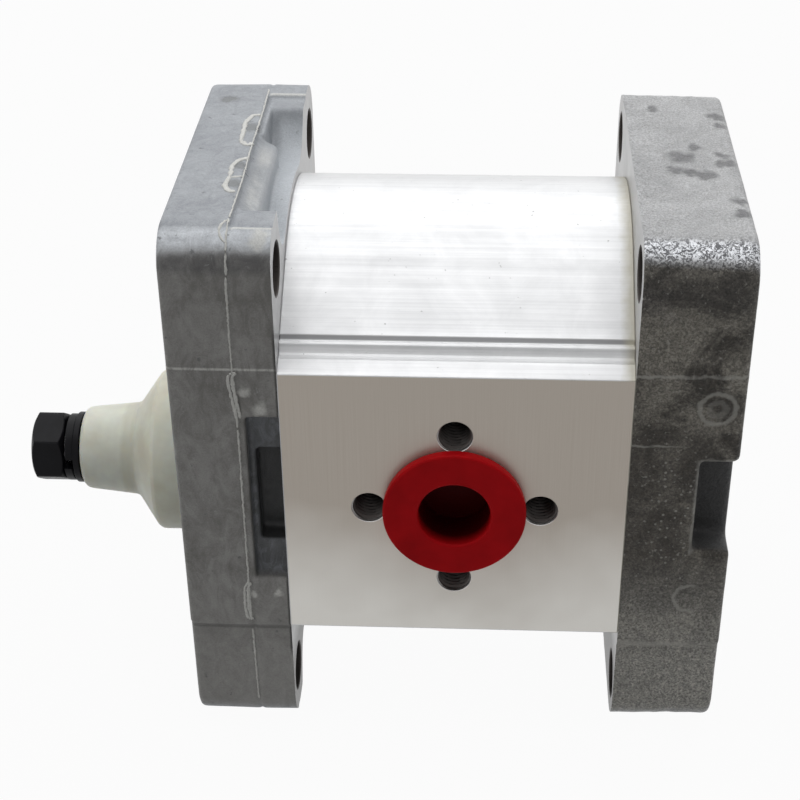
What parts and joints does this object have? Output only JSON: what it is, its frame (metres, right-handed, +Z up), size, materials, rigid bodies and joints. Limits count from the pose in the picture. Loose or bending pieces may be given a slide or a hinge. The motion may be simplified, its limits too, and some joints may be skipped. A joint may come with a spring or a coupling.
{
  "type": "hydraulic gear pump",
  "caption": "External gear pump with a tapered shaft under a protector cap, two block covers with ear holes, an extruded body and plugged side ports.",
  "frame": {"origin": "middle of the four mounting holes, on the front cover's outer face", "axes": "+X from the mounting face to the rear cover (the shaft points to -X), -Y the inlet side, +Z up with the pump lying on the lower edges of its covers"},
  "size_m": [0.176, 0.1022, 0.1392],
  "materials": {
    "cast_aluminium": "die-cast, as cast",
    "sand_cast_aluminium": "sand-cast and tumbled",
    "extruded_aluminium": "extruded, port faces machined",
    "gear_steel": "ground case-hardened steel",
    "bearing_aluminium": "fine machined",
    "bush_bronze": "sintered bronze",
    "black_steel": "blackened",
    "screw_steel": "zinc plated",
    "seal_rubber": "matt",
    "backup_plastic": "plain",
    "natural_plastic": "milky, a little translucent",
    "red_plastic": "smooth moulded"
  },
  "bodies": {
    "housing": {"front_cover": "cast_aluminium", "pump_body": "extruded_aluminium", "rear_cover": "sand_cast_aluminium", "front_bearing_block": "bearing_aluminium", "rear_bearing_block": "bearing_aluminium", "drive_bush_front": "bush_bronze", "drive_bush_rear": "bush_bronze", "driven_bush_front": "bush_bronze", "driven_bush_rear": "bush_bronze", "front_pressure_seal": "seal_rubber", "rear_pressure_seal": "seal_rubber", "front_backup_ring": "backup_plastic", "rear_backup_ring": "backup_plastic", "front_body_seal": "seal_rubber", "rear_body_seal": "seal_rubber", "shaft_seal_case": "screw_steel", "shaft_seal_lip": "seal_rubber", "seal_garter_spring": "screw_steel", "seal_retaining_ring": "black_steel", "tie_bolts": "screw_steel", "tie_bolt_washers": "screw_steel", "front_dowels": "gear_steel", "rear_dowels": "gear_steel"},
    "drive_shaft": {"drive_gear_shaft": "gear_steel", "woodruff_key": "gear_steel"},
    "driven_shaft": {"driven_gear_shaft": "gear_steel"},
    "nut_set": {"shaft_nut": "black_steel", "spring_washer": "black_steel", "flat_washer": "black_steel"},
    "protector": {"shaft_protector": "natural_plastic"},
    "inlet_plug": {"inlet_port_plug": "red_plastic"},
    "outlet_plug": {"outlet_port_plug": "red_plastic"}
  },
  "joints": [
    {"name": "drive_shaft_spin", "type": "hinge", "parent": "housing", "child": "drive_shaft", "pos_m": [0, 0, -0.0162], "axis": [1, 0, 0], "continuous": true},
    {"name": "driven_gear_spin", "type": "hinge", "parent": "housing", "child": "driven_shaft", "pos_m": [0.065, 0, 0.0162], "axis": [1, 0, 0], "continuous": true},
    {"name": "nut_off", "type": "slide", "parent": "drive_shaft", "child": "nut_set", "axis": [-1, 0, 0], "range_m": [0, 0.06]},
    {"name": "protector_off", "type": "slide", "parent": "housing", "child": "protector", "axis": [-1, 0, 0], "range_m": [0, 0.06]},
    {"name": "inlet_plug_out", "type": "slide", "parent": "housing", "child": "inlet_plug", "axis": [0, -1, 0], "range_m": [0, 0.03]},
    {"name": "outlet_plug_out", "type": "slide", "parent": "housing", "child": "outlet_plug", "axis": [0, 1, 0], "range_m": [0, 0.03]}
  ],
  "couplings": [
    {"joint": "driven_gear_spin", "follows": "drive_shaft_spin", "ratio": -1},
    {"joint": "protector_off", "follows": "nut_off", "ratio": 1}
  ]
}
